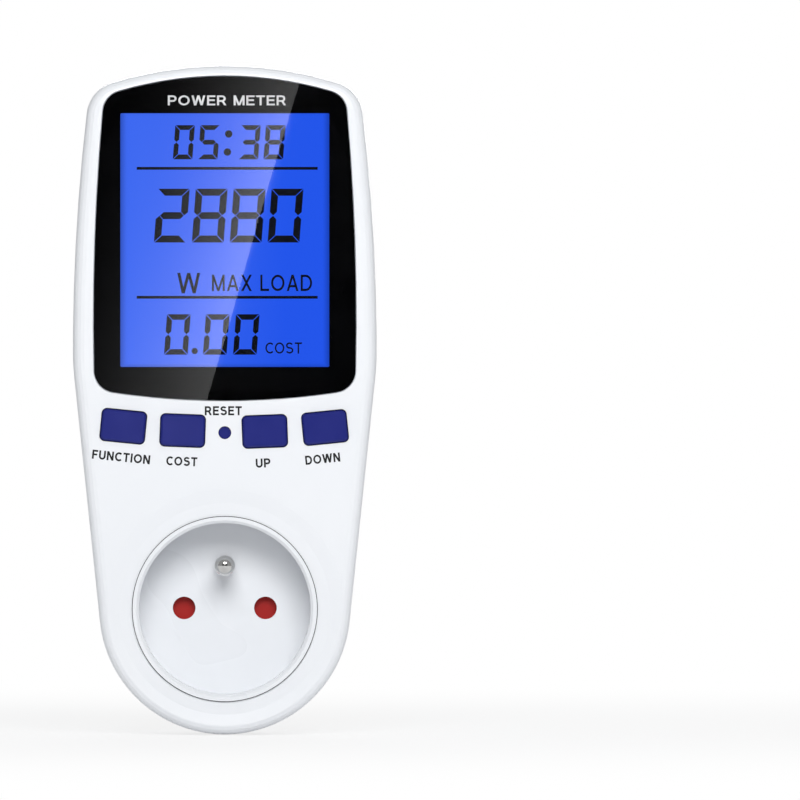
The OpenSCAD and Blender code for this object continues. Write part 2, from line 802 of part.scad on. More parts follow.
module earth_strap()
    color(brass) {
        strap_x = [-2.5, 2.5];
        top_z = earth_z + 4.4;
        front_eye = [socket_back_y + 0.9, socket_back_y + 1.7];
        back_eye = [plug_disc_y - 1.6, plug_disc_y - 0.8];
        for (eye = [front_eye, back_eye]) difference() {
            block(strap_x, eye, [earth_z - 2.8, top_z]);
            rod(1.55, eye[0] - cut, eye[1] + cut, 0, earth_z);
        }
        block(strap_x, [front_eye[0], back_eye[1]], [top_z - 0.8, top_z]);
    }

// ---- plug ----

module nose_profile(inset)
    intersection() {
        circle(nose_r - inset);
        square([2 * (nose_half_w - inset), 4 * nose_r], center = true);
    }

module plug_body()
    color(shell_white) difference() {
        union() {
            difference() {
                union() {
                    slab(boss_y - cut, 0) nose_profile(0);
                    block([-nose_r, nose_r], [boss_y - cut, -0.4], [-2.6, 2.6]);
                    rod(plug_seam_r, panel_inner_y, boss_y);
                    rod(plug_flange_r, panel_inner_y - 1.4, panel_inner_y);
                }
                slab(panel_y - 4, -3) nose_profile(2.4);
                rod(17.4, panel_y - 4, plug_disc_y);
            }
            both_sides() rod(4.2, plug_disc_y, -2, pin_x);
            rod(4.6, plug_disc_y, -2, 0, earth_z);
            rod(3.2, -10, -2);
        }
        both_sides() {
            rod(shank_r + 0.02, panel_y - 4, cut, pin_x);
            rod(pin_r + pin_ring, -pin_neck, cut, pin_x);
        }
        rod(sleeve_r + gap, panel_y - 4, cut, 0, earth_z);
        rod(1.55, -9, cut);
        block([-4.45, 4.45], [bracket_y - bracket_t - gap, cut], [3.4, 14.8]);
        block([-3.05, 3.05], [bracket_y - bracket_t - gap, cut], [-5, 3.5]);
        block([-3.05, 3.05], [bracket_y - bracket_t - 1.05, cut], [-16.1, -4]);
        for (side = [-1, 1])
            block([-1.95, 1.95], [-15, cut], side > 0 ? [14.5, nose_r + 1] : [-nose_r - 1, -15.4]);
    }

module power_pin(x)
    color(metal) {
        round_y = pin_length - pin_r;
        rod(pin_r, pin_neck, round_y, x);
        rod(shank_r, plug_disc_y - 0.1, pin_neck + gap, x);
        translate([x, round_y, 0]) sphere(r = pin_r);
        rod(1.45, plug_disc_y - 1.2, plug_disc_y, x);
    }

module live_pin() power_pin(pin_x);
module neutral_pin() power_pin(-pin_x);

// Spring clip: from the face over the rim and back along the nose
module earth_clip(face_y)
    rotate([90, 0, 90]) translate([0, 0, -1.8]) linear_extrude(3.6)
        polygon([[face_y, 14.4], [face_y, 15.6], [-2.6, 17.7], [-8, 18.2], [-13, 16.8],
                 [-13, 16.2], [-8, 17.5], [-3, 17], [face_y - bracket_t, 15.3],
                 [face_y - bracket_t, 14.4]]);

module earth_bracket()
    color(metal) difference() {
        low_y = bracket_y - 1;
        union() {
            block([-4.35, 4.35], [bracket_y - bracket_t, bracket_y], [3.5, 14.6]);
            block([-2.95, 2.95], [bracket_y - bracket_t, bracket_y], [-4.8, 3.6]);
            block([-2.95, 2.95], [low_y - bracket_t, bracket_y], [-4.8, -4.1]);
            block([-2.95, 2.95], [low_y - bracket_t, low_y], [-16, -4.1]);
            earth_clip(bracket_y);
            mirror([0, 0, 1]) earth_clip(low_y);
        }
        rod(sleeve_r + 0.02, -4, cut, 0, earth_z);
        rod(1.52, -4, cut);
    }

module earth_sleeve()
    color(metal) {
        difference() {
            union() {
                rod(sleeve_r, -17.6, -0.1, 0, earth_z);
                rod(3.6, bracket_y, -0.1, 0, earth_z);
            }
            rod(sleeve_bore_r, -17, cut, 0, earth_z);
        }
        rod(1.5, plug_disc_y - 2, -17.5, 0, earth_z);
    }

module earth_rivet()
    color(metal) difference() {
        union() {
            rod(1.5, -8.8, -0.1);
            rod(2.3, bracket_y, -0.1);
        }
        rod(1.1, -8, cut);
    }

front_housing();
rear_housing();
display_window();
window_mask();
rating_label();
lower_case_screws();
upper_case_screw();
function_key();
cost_key();
up_key();
down_key();
reset_key();
function_plunger();
cost_plunger();
up_plunger();
down_plunger();
reset_plunger();
switch_bodies();
lcd_glass();
light_guide();
backlight_leds();
display_carrier();
zebra_strip();
display_board();
display_board_screws();
display_chip();
clock_crystal();
battery_holder();
backup_cell();
ribbon_cable();
power_board();
power_board_screws();
film_capacitor();
electrolytic_capacitors();
metering_chip();
varistor();
fuse_resistor();
shunt();
live_busbar();
neutral_busbar();
socket_cup();
socket_earth_pin();
shutter();
shutter_spring();
contact_carrier();
carrier_screws();
live_contact();
neutral_contact();
earth_strap();
plug_body();
live_pin();
neutral_pin();
earth_bracket();
earth_sleeve();
earth_rivet();
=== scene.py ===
"""Looks of the plug in power meter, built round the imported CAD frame."""

import json
import math

import bmesh
import bpy
from mathutils import Matrix, Vector


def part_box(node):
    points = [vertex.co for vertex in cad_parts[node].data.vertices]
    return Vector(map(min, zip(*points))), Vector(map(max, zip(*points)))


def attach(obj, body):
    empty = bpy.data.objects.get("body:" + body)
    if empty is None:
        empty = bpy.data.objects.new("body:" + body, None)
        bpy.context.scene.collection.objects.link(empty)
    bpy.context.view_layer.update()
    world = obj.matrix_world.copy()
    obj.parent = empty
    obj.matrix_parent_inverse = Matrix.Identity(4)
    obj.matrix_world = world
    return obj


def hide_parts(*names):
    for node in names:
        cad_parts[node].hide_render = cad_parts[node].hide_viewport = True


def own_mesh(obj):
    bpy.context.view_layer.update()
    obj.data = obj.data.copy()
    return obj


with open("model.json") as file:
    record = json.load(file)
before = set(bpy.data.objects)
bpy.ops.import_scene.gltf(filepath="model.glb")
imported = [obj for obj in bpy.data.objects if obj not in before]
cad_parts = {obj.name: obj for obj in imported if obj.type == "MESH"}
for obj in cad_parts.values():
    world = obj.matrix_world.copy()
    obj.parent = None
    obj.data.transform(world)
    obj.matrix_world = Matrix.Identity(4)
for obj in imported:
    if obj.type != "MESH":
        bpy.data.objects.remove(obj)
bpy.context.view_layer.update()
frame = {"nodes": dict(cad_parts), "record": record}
NODES = frame["nodes"]
MM = 0.001

# ---- places taken from the frame, in metres ----

FRONT_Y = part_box("front_housing")[0].y
TOP_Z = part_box("front_housing")[1].z
FOOT_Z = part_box("front_housing")[0].z
MIDDLE_Z = (TOP_Z + FOOT_Z) / 2
WINDOW_BACK_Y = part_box("display_window")[1].y
LCD_FRONT_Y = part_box("lcd_glass")[0].y
LABEL_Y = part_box("rating_label")[1].y

INK_THICKNESS = 0.03 * MM
STROKE_STEP = 0.002 * MM


# ---- materials ----

def new_material(name):
    """An empty node material with its output, node tree and object coordinates."""
    material = bpy.data.materials.new(name)
    material.use_nodes = True
    tree = material.node_tree
    tree.nodes.clear()
    output = tree.nodes.new("ShaderNodeOutputMaterial")
    coordinates = tree.nodes.new("ShaderNodeTexCoord")
    return material, tree, output, coordinates.outputs["Object"]


def noise(tree, vector, size, detail=3.0):
    """Noise whose blobs are about size metres across."""
    texture = tree.nodes.new("ShaderNodeTexNoise")
    texture.inputs["Scale"].default_value = 1.0 / size
    texture.inputs["Detail"].default_value = detail
    tree.links.new(vector, texture.inputs["Vector"])
    return texture.outputs["Fac"]


def spread(tree, value, low, high):
    """Maps noise onto low to high."""
    node = tree.nodes.new("ShaderNodeMapRange")
    node.interpolation_type = "SMOOTHERSTEP"
    node.inputs["From Min"].default_value = 0.1
    node.inputs["From Max"].default_value = 0.9
    node.inputs["To Min"].default_value = low
    node.inputs["To Max"].default_value = high
    tree.links.new(value, node.inputs["Value"])
    return node.outputs["Result"]


def mix_colors(tree, factor, first, second):
    """Colour between first and second by a factor socket."""
    node = tree.nodes.new("ShaderNodeMix")
    node.data_type = "RGBA"
    node.inputs["A"].default_value = (*first, 1.0)
    node.inputs["B"].default_value = (*second, 1.0)
    tree.links.new(factor, node.inputs["Factor"])
    return node.outputs["Result"]


def bump(tree, height, depth):
    """Normal raised by a height socket, depth in metres."""
    node = tree.nodes.new("ShaderNodeBump")
    node.inputs["Strength"].default_value = 1.0
    node.inputs["Distance"].default_value = depth
    tree.links.new(height, node.inputs["Height"])
    return node.outputs["Normal"]


def solid_material(name, color, second, roughness, patch, grain, depth, metallic=0.0,
                   specular=0.5, coat=0.0):
    """Moulded, printed or metal surface: slow colour drift, uneven gloss and fine grain."""
    material, tree, output, place = new_material(name)
    surface = tree.nodes.new("ShaderNodeBsdfPrincipled")
    drift = noise(tree, place, patch, 0.5)
    fine = noise(tree, place, grain, 2.0)
    tree.links.new(mix_colors(tree, drift, color, second), surface.inputs["Base Color"])
    tree.links.new(spread(tree, drift, *roughness), surface.inputs["Roughness"])
    tree.links.new(bump(tree, fine, depth), surface.inputs["Normal"])
    surface.inputs["Metallic"].default_value = metallic
    surface.inputs["Specular IOR Level"].default_value = specular
    surface.inputs["Coat Weight"].default_value = coat
    surface.inputs["Coat Roughness"].default_value = 0.08
    tree.links.new(surface.outputs["BSDF"], output.inputs["Surface"])
    return material


PLUG_INSIDE_Y = -30 * MM    # the socket's own earth pin lies beyond this depth


def inside_hole(tree, place, z, radius):
    """Mask of the painted shade: one well inside a round hole of the plug's face at x 0, zero outside it
    and at its mouth.
    """
    axes = tree.nodes.new("ShaderNodeSeparateXYZ")
    tree.links.new(place, axes.inputs[0])
    deep = tree.nodes.new("ShaderNodeMapRange")
    deep.inputs["From Min"].default_value = -0.7 * MM
    deep.inputs["From Max"].default_value = -1.6 * MM
    tree.links.new(axes.outputs["Y"], deep.inputs["Value"])
    in_plug = tree.nodes.new("ShaderNodeMath")
    in_plug.operation = "GREATER_THAN"
    in_plug.inputs[1].default_value = PLUG_INSIDE_Y
    tree.links.new(axes.outputs["Y"], in_plug.inputs[0])
    within = tree.nodes.new("ShaderNodeMath")
    within.operation = "MULTIPLY"
    tree.links.new(deep.outputs["Result"], within.inputs[0])
    tree.links.new(in_plug.outputs[0], within.inputs[1])
    level = tree.nodes.new("ShaderNodeVectorMath")
    level.operation = "MULTIPLY"
    level.inputs[1].default_value = (1, 0, 1)
    tree.links.new(place, level.inputs[0])
    away = tree.nodes.new("ShaderNodeVectorMath")
    away.operation = "DISTANCE"
    away.inputs[1].default_value = (0, 0, z)
    tree.links.new(level.outputs[0], away.inputs[0])
    near = tree.nodes.new("ShaderNodeMath")
    near.operation = "LESS_THAN"
    near.inputs[1].default_value = radius
    tree.links.new(away.outputs["Value"], near.inputs[0])
    both = tree.nodes.new("ShaderNodeMath")
    both.operation = "MULTIPLY"
    tree.links.new(within.outputs[0], both.inputs[0])
    tree.links.new(near.outputs[0], both.inputs[1])
    return both.outputs[0]


def paint_shade_in_holes(material):
    """Painted shade: darkens the insides of the earth contact's bore and of the rivet, where shade falls.
    """
    tree = material.node_tree
    surface = [node for node in tree.nodes if node.type == "BSDF_PRINCIPLED"][0]
    place = tree.nodes.new("ShaderNodeTexCoord").outputs["Object"]
    both = tree.nodes.new("ShaderNodeMath")
    both.operation = "MAXIMUM"
    tree.links.new(inside_hole(tree, place, 10 * MM, 2.9 * MM), both.inputs[0])
    tree.links.new(inside_hole(tree, place, 0, 1.3 * MM), both.inputs[1])
    # painted shade: deep inside the holes the base colour turns near black
    bright = surface.inputs["Base Color"].links[0].from_socket
    blend = mix_colors(tree, both.outputs[0], (0, 0, 0), (0.012, 0.012, 0.012))
    tree.links.new(bright, blend.node.inputs["A"])
    tree.links.new(blend, surface.inputs["Base Color"])
    return material


def brushed_material(name, color, second, roughness, along, depth):
    """Metal with drawn or rolled marks that run along one axis."""
    material, tree, output, place = new_material(name)
    surface = tree.nodes.new("ShaderNodeBsdfPrincipled")
    stretch = tree.nodes.new("ShaderNodeMapping")
    stretch.inputs["Scale"].default_value = [0.04 if axis == along else 1.0 for axis in "XYZ"]
    tree.links.new(place, stretch.inputs["Vector"])
    lines = noise(tree, stretch.outputs["Vector"], 0.25 * MM, 4.0)
    tree.links.new(mix_colors(tree, lines, color, second), surface.inputs["Base Color"])
    tree.links.new(spread(tree, lines, *roughness), surface.inputs["Roughness"])
    tree.links.new(bump(tree, lines, depth), surface.inputs["Normal"])
    surface.inputs["Metallic"].default_value = 1.0
    tree.links.new(surface.outputs["BSDF"], output.inputs["Surface"])
    return material


def window_material():
    """Clear acrylic: see through, with a clean gloss that grows towards grazing angles."""
    material, tree, output, place = new_material("clear_acrylic")
    clear = tree.nodes.new("ShaderNodeBsdfTransparent")
    clear.inputs["Color"].default_value = (0.985, 0.99, 1.0, 1.0)
    gloss = tree.nodes.new("ShaderNodeBsdfGlossy")
    tree.links.new(spread(tree, noise(tree, place, 9 * MM), 0.003, 0.006), gloss.inputs["Roughness"])
    tree.links.new(bump(tree, noise(tree, place, 30 * MM, 0.0), 0.006 * MM), gloss.inputs["Normal"])
    facing = tree.nodes.new("ShaderNodeLayerWeight")
    facing.inputs["Blend"].default_value = 0.5
    rise = tree.nodes.new("ShaderNodeMath")
    rise.operation = "POWER"
    rise.inputs[1].default_value = 5.0
    tree.links.new(facing.outputs["Facing"], rise.inputs[0])
    share = tree.nodes.new("ShaderNodeMath")
    share.operation = "MULTIPLY_ADD"
    share.inputs[1].default_value = 0.9
    share.inputs[2].default_value = 0.03
    tree.links.new(rise.outputs[0], share.inputs[0])
    mix = tree.nodes.new("ShaderNodeMixShader")
    tree.links.new(share.outputs[0], mix.inputs["Fac"])
    tree.links.new(clear.outputs["BSDF"], mix.inputs[1])
    tree.links.new(gloss.outputs["BSDF"], mix.inputs[2])
    tree.links.new(mix.outputs["Shader"], output.inputs["Surface"])
    return material


def backlit_material():
    """Blue display cell lit from behind: bright middle, shaded rim, a painted reflection brightening its
    left part, and glass over it.
    """
    material, tree, output, place = new_material("backlit_blue")
    low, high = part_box("lcd_glass")
    centre = (low + high) / 2
    half = (high - low) / 2
    shift = tree.nodes.new("ShaderNodeVectorMath")
    shift.operation = "SUBTRACT"
    shift.inputs[1].default_value = centre
    folded = tree.nodes.new("ShaderNodeVectorMath")
    folded.operation = "ABSOLUTE"
    inside = tree.nodes.new("ShaderNodeVectorMath")
    inside.operation = "SUBTRACT"
    inside.inputs[0].default_value = half
    axes = tree.nodes.new("ShaderNodeSeparateXYZ")
    side = tree.nodes.new("ShaderNodeSeparateXYZ")
    tree.links.new(place, side.inputs[0])
    edge = tree.nodes.new("ShaderNodeMath")
    edge.operation = "MINIMUM"
    tree.links.new(place, shift.inputs[0])
    tree.links.new(shift.outputs[0], folded.inputs[0])
    tree.links.new(folded.outputs[0], inside.inputs[1])
    tree.links.new(inside.outputs[0], axes.inputs[0])
    tree.links.new(axes.outputs["X"], edge.inputs[0])
    tree.links.new(axes.outputs["Z"], edge.inputs[1])
    shade = tree.nodes.new("ShaderNodeMapRange")
    shade.interpolation_type = "SMOOTHSTEP"
    shade.inputs["From Min"].default_value = 0.6 * MM
    shade.inputs["From Max"].default_value = 2.8 * MM
    shade.inputs["To Min"].default_value = 0.55
    shade.inputs["To Max"].default_value = 1.0
    tree.links.new(edge.outputs[0], shade.inputs["Value"])
    # painted reflection: the blue glow is brighter on the left, where the graded card's gloss falls
    across = tree.nodes.new("ShaderNodeMapRange")
    across.inputs["From Min"].default_value = -20 * MM
    across.inputs["From Max"].default_value = 14 * MM
    tree.links.new(side.outputs["X"], across.inputs["Value"])
    tint = mix_colors(tree, across.outputs["Result"], (0.054, 0.160, 0.98), (0.020, 0.105, 0.92))
    glow = tree.nodes.new("ShaderNodeEmission")
    tree.links.new(tint, glow.inputs["Color"])
    tree.links.new(shade.outputs["Result"], glow.inputs["Strength"])
    glass = tree.nodes.new("ShaderNodeBsdfGlossy")
    glass.inputs["Color"].default_value = (0.9, 0.95, 1.0, 1.0)
    glass.inputs["Roughness"].default_value = 0.02
    mix = tree.nodes.new("ShaderNodeMixShader")
    mix.inputs["Fac"].default_value = 0.05
    tree.links.new(glow.outputs["Emission"], mix.inputs[1])
    tree.links.new(glass.outputs["BSDF"], mix.inputs[2])
    tree.links.new(mix.outputs["Shader"], output.inputs["Surface"])
    return material


def make_materials():
    """One finish for each slot of the record."""
    white = (0.80, 0.82, 0.85)
    return {
        "shell": solid_material("white_shell", white, (0.82, 0.835, 0.86), (0.30, 0.36),
                                30 * MM, 0.35 * MM, 0.004 * MM),
        "socket": solid_material("white_insert", (0.79, 0.81, 0.84), (0.81, 0.825, 0.85), (0.26, 0.32),
                                 18 * MM, 0.30 * MM, 0.003 * MM),
        "window": window_material(),
        "black_print": solid_material("black_print", (0.001, 0.001, 0.0012), (0.002, 0.002, 0.0024),
                                      (0.1, 0.14), 8 * MM, 0.1 * MM, 0.0003 * MM, specular=0.05),
        "label": solid_material("label_film", (0.74, 0.76, 0.80), (0.77, 0.79, 0.82), (0.42, 0.50),
                                10 * MM, 0.2 * MM, 0.002 * MM),
        "black_screw": solid_material("black_oxide", (0.006, 0.006, 0.007), (0.014, 0.014, 0.015),
                                      (0.35, 0.5), 0.8 * MM, 0.15 * MM, 0.006 * MM, specular=0.3),
        "key_blue": solid_material("key_blue", (0.010, 0.015, 0.168), (0.012, 0.018, 0.190),
                                   (0.30, 0.38), 4 * MM, 0.2 * MM, 0.003 * MM, specular=0.15, coat=0.2),
        "stem": solid_material("stem_plastic", (0.70, 0.69, 0.63), (0.74, 0.73, 0.68), (0.4, 0.5),
                               3 * MM, 0.2 * MM, 0.003 * MM),
        "switch": solid_material("switch_plastic", (0.02, 0.02, 0.022), (0.03, 0.03, 0.032), (0.4, 0.5),
                                 2 * MM, 0.15 * MM, 0.004 * MM),
        "lcd": backlit_material(),
        "guide": solid_material("light_guide", (0.75, 0.80, 0.9), (0.8, 0.84, 0.92), (0.1, 0.16),
                                12 * MM, 0.5 * MM, 0.004 * MM),
        "led": solid_material("led_phosphor", (0.85, 0.75, 0.25), (0.9, 0.86, 0.6), (0.3, 0.4),
                              0.8 * MM, 0.1 * MM, 0.004 * MM),
        "carrier": solid_material("carrier_plastic", (0.72, 0.70, 0.64), (0.76, 0.74, 0.68),
                                  (0.38, 0.48), 9 * MM, 0.25 * MM, 0.004 * MM),
        "zebra": solid_material("silicone_strip", (0.55, 0.20, 0.24), (0.62, 0.25, 0.28), (0.5, 0.6),
                                2 * MM, 0.1 * MM, 0.003 * MM),
        "board": solid_material("solder_mask", (0.012, 0.11, 0.045), (0.018, 0.15, 0.06), (0.22, 0.32),
                                5 * MM, 0.4 * MM, 0.01 * MM, coat=0.3),
        "steel": brushed_material("zinc_steel", (0.55, 0.56, 0.58), (0.68, 0.69, 0.72), (0.22, 0.34),
                                  "Y", 0.004 * MM),
        "nickel": paint_shade_in_holes(brushed_material("bright_nickel", (0.66, 0.65, 0.63), (0.76, 0.75, 0.73),
                                                 (0.10, 0.18), "Z", 0.002 * MM)),
        "brass": brushed_material("stamped_brass", (0.62, 0.44, 0.16), (0.74, 0.55, 0.24), (0.2, 0.32),
                                  "Z", 0.003 * MM),
        "black_part": solid_material("moulded_epoxy", (0.015, 0.015, 0.017), (0.024, 0.024, 0.026),
                                     (0.45, 0.58), 2 * MM, 0.12 * MM, 0.006 * MM),
        "cell": brushed_material("cell_can", (0.6, 0.6, 0.6), (0.72, 0.72, 0.73), (0.2, 0.3),
                                 "X", 0.003 * MM),
        "cable": solid_material("ribbon_jacket", (0.45, 0.47, 0.5), (0.52, 0.54, 0.57), (0.35, 0.45),
                                1.2 * MM, 0.3 * MM, 0.01 * MM),
        "film_cap": solid_material("capacitor_box", (0.50, 0.34, 0.04), (0.56, 0.40, 0.06), (0.3, 0.4),
                                   5 * MM, 0.2 * MM, 0.004 * MM),
        "can": solid_material("capacitor_sleeve", (0.012, 0.018, 0.08), (0.018, 0.026, 0.11), (0.2, 0.3),
                              3 * MM, 0.2 * MM, 0.003 * MM, coat=0.4),
        "varistor": solid_material("dipped_epoxy", (0.03, 0.11, 0.38), (0.04, 0.14, 0.45), (0.2, 0.3),
                                   1.5 * MM, 0.6 * MM, 0.02 * MM, coat=0.5),
        "resistor": solid_material("resistor_lacquer", (0.42, 0.33, 0.20), (0.50, 0.40, 0.26),
                                   (0.25, 0.35), 1 * MM, 0.3 * MM, 0.01 * MM),
        "shunt": brushed_material("shunt_alloy", (0.45, 0.27, 0.16), (0.55, 0.35, 0.22), (0.25, 0.38),
                                  "X", 0.004 * MM),
        "red": solid_material("red_shutter", (0.33, 0.012, 0.010), (0.40, 0.016, 0.013), (0.3, 0.4),
                              3 * MM, 0.2 * MM, 0.003 * MM, specular=0.2),
    }


def ink_material(name, color, roughness, specular):
    """Screen print: slightly uneven ink film."""
    return solid_material(name, color, [c * 1.3 + 0.001 for c in color], roughness, 1.5 * MM, 0.08 * MM,
                          0.001 * MM, specular=specular)


# ---- mesh helpers; drawings are lists of (x, z) points in millimetres ----

def add_piece(name, verts, faces, body, material):
    """A new mesh piece that rides on a body and takes the given finish."""
    mesh = bpy.data.meshes.new(name)
    mesh.from_pydata(verts, [], faces)
    mesh.validate()
    mesh.update()
    mesh.materials.append(material)
    piece = bpy.data.objects.new(name, mesh)
    bpy.context.scene.collection.objects.link(piece)
    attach(piece, body)
    return piece


def flat_shapes(name, outlines, y, body, material, toward=-1, thickness=INK_THICKNESS):
    """Thin closed shapes that stand out of a face at depth y; toward is the way they face."""
    verts = []
    faces = []
    for i, outline in enumerate(outlines):
        n = len(outline)
        start = len(verts)
        # crossing strokes end at slightly different heights, so their faces never coincide
        top = y + toward * (thickness + i % 5 * STROKE_STEP)
        for level in (y, top):
            verts += [(x * MM, level, z * MM) for x, z in outline]
        near = list(range(start, start + n))
        far = list(range(start + n, start + 2 * n))
        faces.append(near)
        faces.append(far[::-1])
        faces += [(near[k], far[k], far[(k + 1) % n], near[(k + 1) % n]) for k in range(n)]
    piece = add_piece(name, verts, faces, body, material)
    turn_outwards(piece)
    return piece


def turn_outwards(piece):
    """Makes every closed shell's faces look outwards."""
    shape = bmesh.new()
    shape.from_mesh(piece.data)
    bmesh.ops.recalc_face_normals(shape, faces=shape.faces)
    shape.to_mesh(piece.data)
    shape.free()


def disc(x, z, radius, steps=28):
    """Points of a circle."""
    return [(x + radius * math.cos(2 * math.pi * i / steps), z + radius * math.sin(2 * math.pi * i / steps))
            for i in range(steps)]


def bar(x_from, x_to, z, thickness):
    """Points of a level line."""
    half = thickness / 2
    return [(x_from, z - half), (x_to, z - half), (x_to, z + half), (x_from, z + half)]


SEGMENTS_ON = {"0": "abcdef", "2": "abged", "3": "abgcd", "5": "afgcd", "8": "abcdefg"}


def digit(character, x, z, width, height, stroke, gap, slant):
    """Outlines of a seven segment digit whose lower left corner is at x, z."""
    w, h, t, k, m = width, height, stroke, gap, height / 2
    shapes = {
        "a": [(k, h), (w - k, h), (w - t - k, h - t), (t + k, h - t)],
        "d": [(k, 0), (w - k, 0), (w - t - k, t), (t + k, t)],
        "g": [(k + t / 2, m), (k + t, m + t / 2), (w - k - t, m + t / 2), (w - k - t / 2, m),
              (w - k - t, m - t / 2), (k + t, m - t / 2)],
        "f": [(0, h - k), (t, h - t - k), (t, m + t / 2 + k / 2), (t / 2, m + k / 2), (0, m + t / 2)],
        "e": [(0, k), (t, t + k), (t, m - t / 2 - k / 2), (t / 2, m - k / 2), (0, m - t / 2)],
    }
    shapes["b"] = [(w - px, pz) for px, pz in shapes["f"]]
    shapes["c"] = [(w - px, pz) for px, pz in shapes["e"]]
    return [[(x + px + slant * pz, z + pz) for px, pz in shapes[s]] for s in SEGMENTS_ON[character]]


# ---- plain capitals ----

def straight(stroke, x_from, z_from, x_to, z_to):
    """Upright or leaning line whose ends are cut level."""
    half = stroke / 2 * math.hypot(x_to - x_from, z_to - z_from) / abs(z_to - z_from)
    return [(x_from - half, z_from), (x_from + half, z_from), (x_to + half, z_to), (x_to - half, z_to)]


def bowed(stroke, x, z, radius_x, radius_z, start, end, steps=20):
    """Part of a round line around x, z; the radii reach its outer side and the angles are in degrees."""
    angles = [math.radians(start + (end - start) * i / steps) for i in range(steps + 1)]
    outer = [(x + radius_x * math.cos(a), z + radius_z * math.sin(a)) for a in angles]
    inner = [(x + (radius_x - stroke) * math.cos(a), z + (radius_z - stroke) * math.sin(a)) for a in angles]
    return outer + inner[::-1]


def alphabet(t):
    """Width and lines of each letter, one unit high, with lines of width t."""
    h = t / 2
    stem = straight(t, h, 0, h, 1)
    bowl_half = 0.28 + h / 2
    bowl = [bar(h, 0.4, 1 - h, t), bar(h, 0.4, 1 - 2 * bowl_half + h, t),
            bowed(t, 0.4, 1 - bowl_half, 0.3, bowl_half, -90, 90)]
    lower_half = 0.5 + h - 0.28
    return {
        " ": (0.3, []),
        "A": (0.84, [straight(t, 0.09, 0, 0.42, 1), straight(t, 0.75, 0, 0.42, 1), bar(0.2, 0.64, 0.3, t)]),
        "C": (0.78, [bowed(t, 0.45, 0.5, 0.45, 0.5, 46, 314)]),
        "D": (0.78, [stem, bar(h, 0.34, 1 - h, t), bar(h, 0.34, h, t),
                     bowed(t, 0.34, 0.5, 0.44, 0.5, -90, 90)]),
        "E": (0.66, [stem, bar(h, 0.66, 1 - h, t), bar(h, 0.61, 0.52, t), bar(h, 0.66, h, t)]),
        "F": (0.62, [stem, bar(h, 0.62, 1 - h, t), bar(h, 0.55, 0.5, t)]),
        "I": (t, [stem]),
        "L": (0.6, [stem, bar(h, 0.6, h, t)]),
        "M": (0.88, [stem, straight(t, 0.88 - h, 0, 0.88 - h, 1), straight(t, h, 1, 0.44, 0),
                     straight(t, 0.88 - h, 1, 0.44, 0)]),
        "N": (0.76, [stem, straight(t, 0.76 - h, 0, 0.76 - h, 1), straight(t, h, 1, 0.76 - h, 0)]),
        "O": (0.92, [bowed(t, 0.46, 0.5, 0.46, 0.5, -90, 90), bowed(t, 0.46, 0.5, 0.46, 0.5, 90, 270)]),
        "P": (0.7, [stem] + bowl),
        "R": (0.76, [stem, straight(t, 0.44, 0.44, 0.67, 0)] + bowl),
        "S": (0.74, [bowed(t, 0.37, 0.72, 0.34, 0.28, 24, 270),
                     bowed(t, 0.37, lower_half, 0.37, lower_half, -156, 90)]),
        "T": (0.7, [straight(t, 0.35, 0, 0.35, 1), bar(0, 0.7, 1 - h, t)]),
        "U": (0.74, [straight(t, h, 0.36, h, 1), straight(t, 0.74 - h, 0.36, 0.74 - h, 1),
                     bowed(t, 0.37, 0.37, 0.37, 0.37, 180, 360)]),
        "W": (1.12, [straight(t, 0.09, 1, 0.3, 0), straight(t, 0.56, 1, 0.3, 0),
                     straight(t, 0.56, 1, 0.82, 0), straight(t, 1.03, 1, 0.82, 0)]),
        "X": (0.76, [straight(t, 0.09, 0, 0.67, 1), straight(t, 0.09, 1, 0.67, 0)]),
    }


LETTER_GAP = 0.14
THIN = alphabet(0.14)
MEDIUM = alphabet(0.165)
BOLD = alphabet(0.2)


def word_piece(name, word, x, z, y, height, width, letters, material, lean=0.0):
    """Printed capitals centred on x, z of the front; lean turns them anticlockwise, in degrees."""
    length = sum(letters[letter][0] for letter in word) + LETTER_GAP * (len(word) - 1)
    cosine = math.cos(math.radians(lean))
    sine = math.sin(math.radians(lean))
    shapes = []
    start = -length / 2
    for letter in word:
        letter_width, lines = letters[letter]
        for line in lines:
            flat = [((start + px) * width / length, (pz - 0.5) * height) for px, pz in line]
            shapes.append([(x + px * cosine - pz * sine, z + px * sine + pz * cosine) for px, pz in flat])
        start += letter_width + LETTER_GAP
    flat_shapes(name, shapes, y, "case", material)


def text_piece(name, text, x, z, y, height, width, material):
    """Small printed row on the rear, centred on x, z (millimetres)."""
    curve = bpy.data.curves.new(name, "FONT")
    curve.body = text
    curve.extrude = 0.5
    curve.resolution_u = 4
    source = bpy.data.objects.new(name + "_source", curve)
    bpy.context.scene.collection.objects.link(source)
    bpy.context.view_layer.update()
    mesh = bpy.data.meshes.new_from_object(source.evaluated_get(bpy.context.evaluated_depsgraph_get()))
    bpy.data.objects.remove(source)
    low = [min(v.co[i] for v in mesh.vertices) for i in range(2)]
    high = [max(v.co[i] for v in mesh.vertices) for i in range(2)]
    middle = Vector(((low[0] + high[0]) / 2, (low[1] + high[1]) / 2, 0))
    mesh.transform(Matrix.Translation(-middle))
    mesh.transform(Matrix.Diagonal((width * MM / (high[0] - low[0]), height * MM / (high[1] - low[1]),
                                    INK_THICKNESS, 1)))
    # stands the row upright so that it reads from behind
    mesh.transform(Matrix(((-1, 0, 0, x * MM), (0, 0, 1, y + INK_THICKNESS / 2), (0, 1, 0, z * MM),
                           (0, 0, 0, 1))))
    mesh.materials.clear()
    mesh.materials.append(material)
    mesh.name = name
    piece = bpy.data.objects.new(name, mesh)
    bpy.context.scene.collection.objects.link(piece)
    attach(piece, "case")


# ---- finishes on the CAD nodes ----

